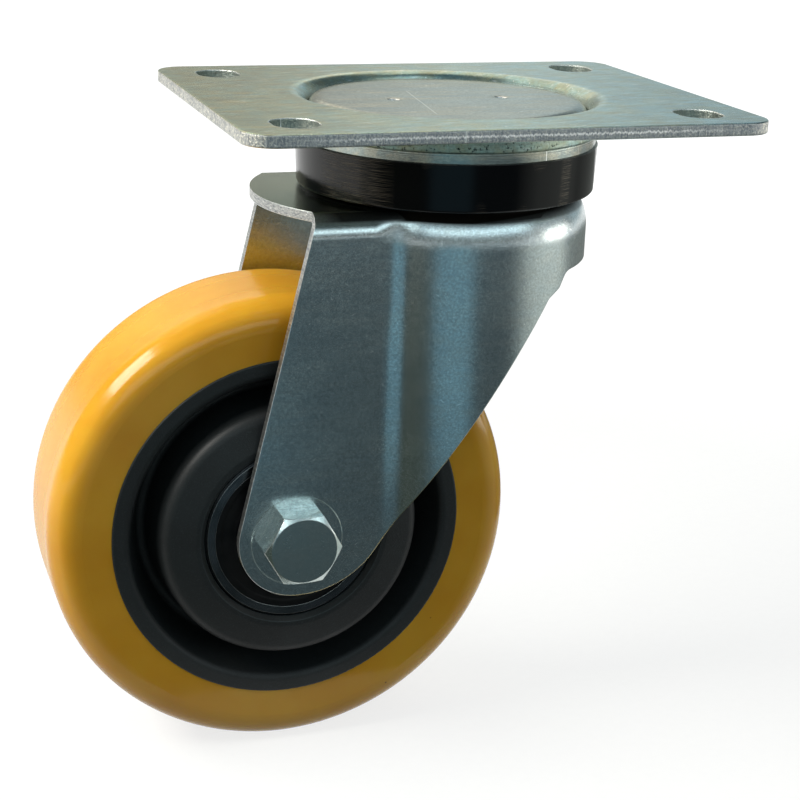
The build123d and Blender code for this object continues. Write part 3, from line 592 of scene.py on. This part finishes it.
def moulded_acetal_ring():
    """Injection-moulded black acetal: deep glossy black, with hairline scuffs that run round it,
    painted brownish as a highlight where they were rubbed, and a painted grey highlight along the
    edges."""
    material, tree = begin("moulded_acetal_ring")
    place = place_mm(tree)
    rounded, near_edge = worn_edges(tree, 0.00025)
    x, y, z = add(tree, "SeparateXYZ", {0: place})[0:3]
    angle = add(tree, "Math", {0: y, 1: x}, operation="ARCTAN2")[0]
    scuff_height = 0.12
    scuff_turn = 0.22       # radians round the ring
    around = add(tree, "Math", {0: angle, 1: scuff_turn}, operation="DIVIDE")[0]
    down = add(tree, "Math", {0: z, 1: scuff_height}, operation="DIVIDE")[0]
    scuff = add(tree, "TexNoise", {"Vector": add(tree, "CombineXYZ", {0: around, 1: down})[0],
                                   "Scale": 1.0})[0]
    patch_size = 12.0
    patch = add(tree, "TexNoise", {"Vector": place, "Scale": 1 / patch_size})[0]
    rubbed = add(tree, "MapRange", {"Value": patch, "From Min": 0.6, "From Max": 0.75})[0]
    for rub_at, rub_half_width in ((-2.55, 0.32), (-1.05, 0.06)):    # radians, where it was rubbed
        rub = add(tree, "MapRange", {"Value": how_far(tree, angle, rub_at),
                                     "From Min": rub_half_width,
                                     "From Max": rub_half_width / 2})[0]
        rubbed = add(tree, "Math", {0: rubbed, 1: rub}, operation="MAXIMUM")[0]
    hairs = add(tree, "MapRange", {"Value": scuff, "From Min": 0.5, "From Max": 0.68})[0]
    worn = where_all(tree, rubbed, hairs)
    # The scuffs are painted brownish pale: partly the scuffs, partly the highlight they catch
    colour = add(tree, "Mix", {0: worn, 6: "08080A", 7: "7E7060"}, data_type="RGBA")[2]
    # Painted highlight: a grey line along the edges
    colour = add(tree, "Mix", {0: near_edge, 6: colour, 7: "303336"}, data_type="RGBA")[2]
    haze = add(tree, "MapRange", {"Value": patch, "From Min": 0.3, "From Max": 0.7,
                                  "To Min": 0.1, "To Max": 0.16})[0]
    roughness = add(tree, "Mix", {0: worn, 2: haze, 3: 0.4})[0]
    return close(material, tree, colour, roughness, scuff, 0.006, rounded,
                 IOR=1.48, Specular_IOR_Level=0.28)


def nitrile_seal_rubber():
    """Moulded black nitrile rubber, wiped with grease: near black, half matt, with faint rings."""
    material, tree = begin("nitrile_seal_rubber")
    place = place_mm(tree)
    smear_size = 4.0
    grease = add(tree, "TexNoise", {"Vector": place, "Scale": 1 / smear_size, "Detail": 3.0})[0]
    colour = add(tree, "Mix", {0: grease, 6: "070708", 7: "0E0E0F"}, data_type="RGBA")[2]
    roughness = add(tree, "MapRange", {"Value": grease, "From Min": 0.3, "From Max": 0.7,
                                       "To Min": 0.34, "To Max": 0.56})[0]

    # The seal is stepped: a raised band near its outer edge, and a thin lip at the inner ring
    band_from_r, band_full_r = 18.6, 19.1
    lip_from_r, lip_full_r = 15.7, 15.2
    step_height = 0.12
    grit_size = 0.4
    radius = from_axle(tree, place)
    outer_step = add(tree, "MapRange", {"Value": radius, "From Min": band_from_r,
                                        "From Max": band_full_r})[0]
    lip_step = add(tree, "MapRange", {"Value": radius, "From Min": lip_from_r,
                                      "From Max": lip_full_r})[0]
    steps = add(tree, "Math", {0: outer_step, 1: lip_step}, operation="ADD")[0]
    grit = add(tree, "TexNoise", {"Vector": place, "Scale": 1 / grit_size})[0]
    uneven = add(tree, "Math", {0: grit, 1: 0.03}, operation="MULTIPLY")[0]
    raised = add(tree, "Math", {0: steps, 1: step_height, 2: uneven}, operation="MULTIPLY_ADD")[0]
    return close(material, tree, colour, roughness, raised, 1.0, IOR=1.52, Specular_IOR_Level=0.2)


def moulded_nylon_core():
    """Injection-moulded black nylon: a soft satin black with the fine grain of a spark-eroded
    mould, slightly paler where the edges are handled."""
    material, tree = begin("moulded_nylon_core")
    place = place_mm(tree)
    rounded, near_edge = worn_edges(tree, 0.0005)
    grain_size = 0.35       # spark-eroded grain, drawn coarser so that it shows
    grain = add(tree, "TexNoise", {"Vector": place, "Scale": 1 / grain_size})[0]
    flow_size = 18.0
    flow = add(tree, "TexNoise", {"Vector": place, "Scale": 1 / flow_size, "Detail": 3.0})[0]
    flowing = add(tree, "MapRange", {"Value": flow, "From Min": 0.35, "From Max": 0.65})[0]
    colour = add(tree, "Mix", {0: flowing, 6: "0F1213", 7: "171B1C"}, data_type="RGBA")[2]
    pocked = add(tree, "MapRange", {"Value": grain, "From Min": 0.55, "From Max": 0.7,
                                    "To Max": 0.5})[0]
    colour = add(tree, "Mix", {0: pocked, 6: colour, 7: "262C2E"}, data_type="RGBA")[2]
    colour = add(tree, "Mix", {0: near_edge, 6: colour, 7: "3A4446"}, data_type="RGBA")[2]
    roughness = add(tree, "MapRange", {"Value": flow, "From Min": 0.3, "From Max": 0.7,
                                       "To Min": 0.6, "To Max": 0.48})[0]
    return close(material, tree, colour, roughness, grain, 0.06, rounded,
                 IOR=1.53, Specular_IOR_Level=0.35)


def cast_polyurethane_tyre():
    """Cast polyurethane, machined on the tread: glossy amber that lets some light in, so that its
    shadows glow orange. The tread has very fine turning lines, the sides are smoother, with tiny
    specks and bubbles in the cast."""
    material, tree = begin("cast_polyurethane_tyre")
    place = place_mm(tree)
    across = add(tree, "SeparateXYZ", {0: place})[1]
    cloud_size = 22.0
    cloud = add(tree, "TexNoise", {"Vector": place, "Scale": 1 / cloud_size, "Detail": 3.0})[0]
    cloudy = add(tree, "MapRange", {"Value": cloud, "From Min": 0.35, "From Max": 0.65})[0]
    colour = add(tree, "Mix", {0: cloudy, 6: "D29524", 7: "DAA12E"}, data_type="RGBA")[2]
    speck_spacing = 7.0
    speck_share = 0.35
    specks = add(tree, "TexVoronoi", {"Vector": place, "Scale": 1 / speck_spacing})
    chosen = add(tree, "SeparateColor", {"Color": specks["Color"]})[0]
    few = add(tree, "Math", {0: chosen, 1: speck_share}, operation="LESS_THAN")[0]
    dot = add(tree, "MapRange", {"Value": specks["Distance"], "From Min": 0.05,
                                 "From Max": 0.025})[0]
    speck = where_all(tree, few, dot)
    colour = add(tree, "Mix", {0: speck, 6: colour, 7: "8A5A1C"}, data_type="RGBA")[2]

    # Painted shade: the side faces are tinted darker and browner than the tread
    sideways = how_far(tree, add(tree, "SeparateXYZ", {0: add(tree, "TexCoord")["Normal"]})[1])
    on_side = add(tree, "MapRange", {"Value": sideways, "From Min": 0.7, "From Max": 0.98})[0]
    shaded_side = add(tree, "Mix", {0: 1.0, 6: colour, 7: "DEDEE8"}, data_type="RGBA",
               blend_type="MULTIPLY")[2]
    colour = add(tree, "Mix", {0: on_side, 6: colour, 7: shaded_side}, data_type="RGBA")[2]

    # Turning lines round the tread, 0.5 mm apart, and a roughness that fades down to the sides
    feed = 0.5
    line_depth = 0.006
    smear_size = 5.0
    tread_half_width = 18.0
    tread_middle = 6.0
    lines = add(tree, "TexNoise", {"Vector": add(tree, "CombineXYZ", {1: across})[0],
                                   "Scale": 1 / feed})[0]
    smear = add(tree, "TexNoise", {"Vector": place, "Scale": 1 / smear_size})[0]
    roughness = add(tree, "MapRange", {"Value": smear, "From Min": 0.3, "From Max": 0.7,
                                       "To Min": 0.1, "To Max": 0.18})[0]
    on_tread = add(tree, "MapRange", {"Value": how_far(tree, across),
                                      "From Min": tread_half_width, "From Max": tread_middle})[0]
    roughness = add(tree, "Mix", {0: on_tread, 2: roughness, 3: 0.28})[0]
    uneven = add(tree, "Math", {0: smear, 1: 0.05}, operation="MULTIPLY")[0]
    raised = add(tree, "Math", {0: lines, 1: line_depth, 2: uneven}, operation="MULTIPLY_ADD")[0]
    return close(material, tree, colour, roughness, raised, 1.0,
                 IOR=1.5, Specular_IOR_Level=0.26, Subsurface_Weight=0.35,
                 Subsurface_Radius=(1.0, 0.5, 0.12), Subsurface_Scale=0.004)


def dress(finish, *names):
    """Give a finish to these pieces of the castor."""
    for name in names:
        for held in nodes[name].material_slots:
            held.material = finish


dress(zinc_plated_plate(), "top_plate")
dress(turned_zinc_post(), "swivel_post")
dress(zinc_plated_fork(), "fork")
dress(bright_zinc_fastener(), "axle_bolt", "axle_washer", "axle_nut", "king_washer", "king_nut")
dress(
    ground_bearing_steel(), "lower_race", "upper_balls", "lower_balls", "axle_sleeve",
    "inner_spacer", "bearing_spacers", "head_side_outer_ring", "head_side_inner_ring",
    "head_side_balls", "nut_side_outer_ring", "nut_side_inner_ring", "nut_side_balls",
)
dress(pressed_cage_steel(), "head_side_cage", "nut_side_cage")
dress(moulded_acetal_ring(), "seal_ring")
dress(nitrile_seal_rubber(), "head_side_seals", "nut_side_seals")
dress(moulded_nylon_core(), "wheel_core")
dress(cast_polyurethane_tyre(), "tyre")


# Camera, fitted by least squares to the plate's corners, the wheel's circles and the swivel's rings
camera_place = Vector((-0.16357, -0.44237, 0.07093))
camera_yaw = 0.33337        # radians, from +Y towards +X
camera_pitch = 0.32014      # radians, downwards
camera_roll = 0.03411
focal_px = 1789.45          # focal length, in pixels of the 800 px wide picture
picture_px = 800
sensor_mm = 36

ahead = Vector((
    math.sin(camera_yaw) * math.cos(camera_pitch),
    math.cos(camera_yaw) * math.cos(camera_pitch),
    -math.sin(camera_pitch),
))
level_right = Vector((math.cos(camera_yaw), -math.sin(camera_yaw), 0))
level_up = level_right.cross(ahead)
right = math.cos(camera_roll) * level_right + math.sin(camera_roll) * level_up
up = -math.sin(camera_roll) * level_right + math.cos(camera_roll) * level_up
camera = bpy.data.objects.new("camera", bpy.data.cameras.new("camera"))
bpy.context.scene.collection.objects.link(camera)
turned = Matrix((right, up, -ahead)).transposed().to_4x4()
camera.matrix_world = Matrix.Translation(camera_place) @ turned
camera.data.sensor_width = sensor_mm
camera.data.lens = focal_px * sensor_mm / picture_px
camera.data.clip_start = 0.01
bpy.context.scene.camera = camera


def sheet_of(name, corners, material):
    """A flat sheet through these corners, given in metres, that belongs to the studio."""
    mesh = bpy.data.meshes.new(name)
    mesh.from_pydata(corners, [], [tuple(range(len(corners)))])
    mesh.materials.append(material)
    made = bpy.data.objects.new(name, mesh)
    bpy.context.scene.collection.objects.link(made)
    return made


def studio_floor():
    """Pale matt paper. What looks at it straight, by a reflection or through glass sees it white,
    with the castor's shadow kept."""
    material, tree = begin("pale_paper")
    here = add(tree, "TexCoord")["Object"]
    fibres_per_metre = 400.0
    fibre = add(tree, "TexNoise", {"Vector": here, "Scale": fibres_per_metre})[0]
    paper = add(tree, "Mix", {0: fibre, 6: "7C7C7A", 7: "828280"}, data_type="RGBA")[2]
    matt = add(tree, "BsdfDiffuse", {"Color": paper})[0]
    path = add(tree, "LightPath")
    seen = add(tree, "Math", {0: path["Is Camera Ray"], 1: path["Is Glossy Ray"]},
               operation="MAXIMUM")[0]
    seen = add(tree, "Math", {0: seen, 1: path["Is Transmission Ray"]}, operation="MAXIMUM")[0]
    out = add(tree, "VectorMath", {0: here}, operation="LENGTH")["Value"]
    sweep = add(tree, "MapRange", {"Value": out, "From Min": 0.3, "From Max": 0.75,
                                   "To Min": 0.78, "To Max": 1.0})[0]
    lift = add(tree, "Math", {0: seen, 1: sweep}, operation="MULTIPLY")[0]
    glow = add(tree, "Emission", {"Color": "FFFFFF", "Strength": lift})[0]
    both = add(tree, "AddShader", {0: matt, 1: glow})[0]
    add(tree, "OutputMaterial", {"Surface": both})
    return material


half_floor = 12.0           # metres, so far that no view from the side sees its end
sheet_of("floor", [(across * half_floor, along * half_floor, floor_z / 1000)
                   for across, along in ((-1, -1), (1, -1), (1, 1), (-1, 1))], studio_floor())


def front_card():
    """A glowing card that only reflections see, a painted reflection of dark surroundings for the
    legs to mirror: dark felt tones, with a paler strip where the hollows of the fork look, and pale
    far in front and on both sides."""
    material, tree = begin("glowing_reflection_card")
    here = add(tree, "TexCoord")["Object"]
    x, y = add(tree, "SeparateXYZ", {0: here})[0:2]
    hollow_y = -0.03        # metres
    ahead_of_hollow = add(tree, "Math", {0: hollow_y, 1: y}, operation="SUBTRACT")[0]
    angle = add(tree, "Math", {0: x, 1: ahead_of_hollow}, operation="ARCTAN2")[0]
    strip_at = -0.27        # radians
    off_strip = how_far(tree, angle, strip_at)
    strip = add(tree, "MapRange", {"Value": off_strip, "From Min": 0.34, "From Max": 0.22})[0]
    far_enough = add(tree, "MapRange", {"Value": ahead_of_hollow, "From Min": 0.17,
                                        "From Max": 0.23})[0]
    strip = where_all(tree, strip, far_enough)
    naps_per_metre = 300.0
    nap = add(tree, "TexNoise", {"Vector": here, "Scale": naps_per_metre})[0]
    colour = add(tree, "Mix", {0: nap, 6: "424D50", 7: "465053"}, data_type="RGBA")[2]

    # Each tone starts at one value and is full at the other: radians from straight in front,
    # growing towards the right, or metres in front
    for value, start, full, tone in (
        (angle, -0.55, -0.7, "424A43"),                 # brownish felt on the left
        (ahead_of_hollow, 0.85, 1.05, "A6B8BE"),        # pale far in front
        (strip, 0.0, 1.0, "7397A5"),                    # the paler strip
        (angle, 0.62, 0.98, "CCD2CC"),                  # pale on the right
        (angle, -1.2, -1.52, "DADCD6"),                 # pale on the far left
        (angle, 1.5, 1.75, "808480"),                   # grey on the right, towards the rear
    ):
        mask = add(tree, "MapRange", {"Value": value, "From Min": start, "From Max": full})[0]
        colour = add(tree, "Mix", {0: mask, 6: colour, 7: tone}, data_type="RGBA")[2]
    glow = add(tree, "Emission", {"Color": colour})[0]
    add(tree, "OutputMaterial", {"Surface": glow})
    return material


# The card lies just above the floor, sizes in metres
card_z = floor_z / 1000 + 0.004
card_side = 0.9
card_front = -2.4
card_rear = -0.045
card_wing = 0.13            # the card reaches round the castor's right side beyond this
card_wing_rear = 0.6
card = sheet_of("front_card", [(-card_side, card_front, card_z), (card_side, card_front, card_z),
                               (card_side, card_wing_rear, card_z),
                               (card_wing, card_wing_rear, card_z),
                               (card_wing, card_rear, card_z), (-card_side, card_rear, card_z)],
                front_card())
card.visible_camera = False
card.visible_diffuse = False
card.visible_shadow = False


def lamp(name, direction, distance, width, height, power, colour):
    """A soft oblong lamp that shines on the castor's middle."""
    light = bpy.data.lights.new(name, "AREA")
    light.shape = "RECTANGLE"
    light.size = width
    light.size_y = height
    light.energy = power
    light.color = linear(colour)[:3]
    made = bpy.data.objects.new(name, light)
    bpy.context.scene.collection.objects.link(made)
    castor_middle = Vector((-0.02, 0, -0.08))
    toward = Vector(direction).normalized()
    made.location = castor_middle + toward * distance
    made.rotation_euler = (-toward).to_track_quat("-Z", "Y").to_euler()


lamp("left_window", (-0.75, 0.02, 0.66), 0.9, 0.6, 0.3, 11.0, "FFFCF5")
lamp("right_window", (0.95, -0.2, 0.05), 1.0, 0.45, 0.22, 1.0, "FFFAF2")

# Room light: a dim room with a pale wall behind, roof lights, and windows in front and on the right
world = bpy.data.worlds.new("room")
bpy.context.scene.world = world
world.use_nodes = True
room = world.node_tree
room.nodes.clear()
way = add(room, "TexCoord")["Generated"]
side, depth, height = add(room, "SeparateXYZ", {0: way})[0:3]
overhead = add(room, "MapRange", {"Value": height, "From Min": 0.0, "From Max": 0.9})[0]
light = add(room, "Mix", {0: overhead, 6: "6A6A66", 7: "5D727E"}, data_type="RGBA")[2]


def within(tree, value, low, high, soft):
    """A mask that is 1 from low to high and fades out over a soft border beyond them."""
    off = how_far(tree, value, (low + high) / 2)
    return add(tree, "MapRange", {"Value": off, "From Min": (high - low) / 2 + soft,
                                  "From Max": (high - low) / 2},
               interpolation_type="SMOOTHSTEP")[0]


# Each pane is a box of directions: from and to across, forward and upward, with a soft border
for across, forward, upward, soft, strength, colour in (
    # row of windows in front, which the bends mirror
    ((-0.6, 0.68), (-1.0, -0.5), (0.3, 0.48), 0.08, 1.9, "DDF1F6"),
    # strip of roof lights behind, which the head's shoulder and the plate's recess mirror
    ((-0.4, 0.36), (0.25, 1.0), (0.34, 0.88), 0.08, 1.15, "FFF3E0"),
    # roof light overhead, which the plate's rim and the bends mirror
    ((0.1, 0.5), (-0.6, -0.1), (0.72, 0.95), 0.1, 1.1, "E6F6FA"),
    # pale wall behind, which the plate mirrors, and the same wall towards the right
    ((-0.3, 0.3), (0.6, 1.0), (-0.1, 0.2), 0.2, 0.27, "F0EEDC"),
    ((0.4, 0.9), (0.3, 1.0), (-0.1, 0.25), 0.2, 0.5, "D2EAF2"),
    # window on the right
    ((0.8, 1.0), (-0.75, 0.0), (-0.3, 0.3), 0.2, 0.42, "F2FAFF"),
):
    shine = where_all(room, strength, *(
        within(room, value, low, high, soft)
        for value, (low, high) in ((side, across), (depth, forward), (height, upward))
    ))
    pane = add(room, "Mix", {0: 1.0, 6: colour, 7: shine}, data_type="RGBA",
               blend_type="MULTIPLY")[2]
    light = add(room, "Mix", {0: 1.0, 6: light, 7: pane}, data_type="RGBA", blend_type="ADD",
                clamp_result=False)[2]
background = add(room, "Background", {"Color": light})[0]
add(room, "OutputWorld", {"Surface": background})

bpy.context.scene.view_settings.view_transform = "Standard"
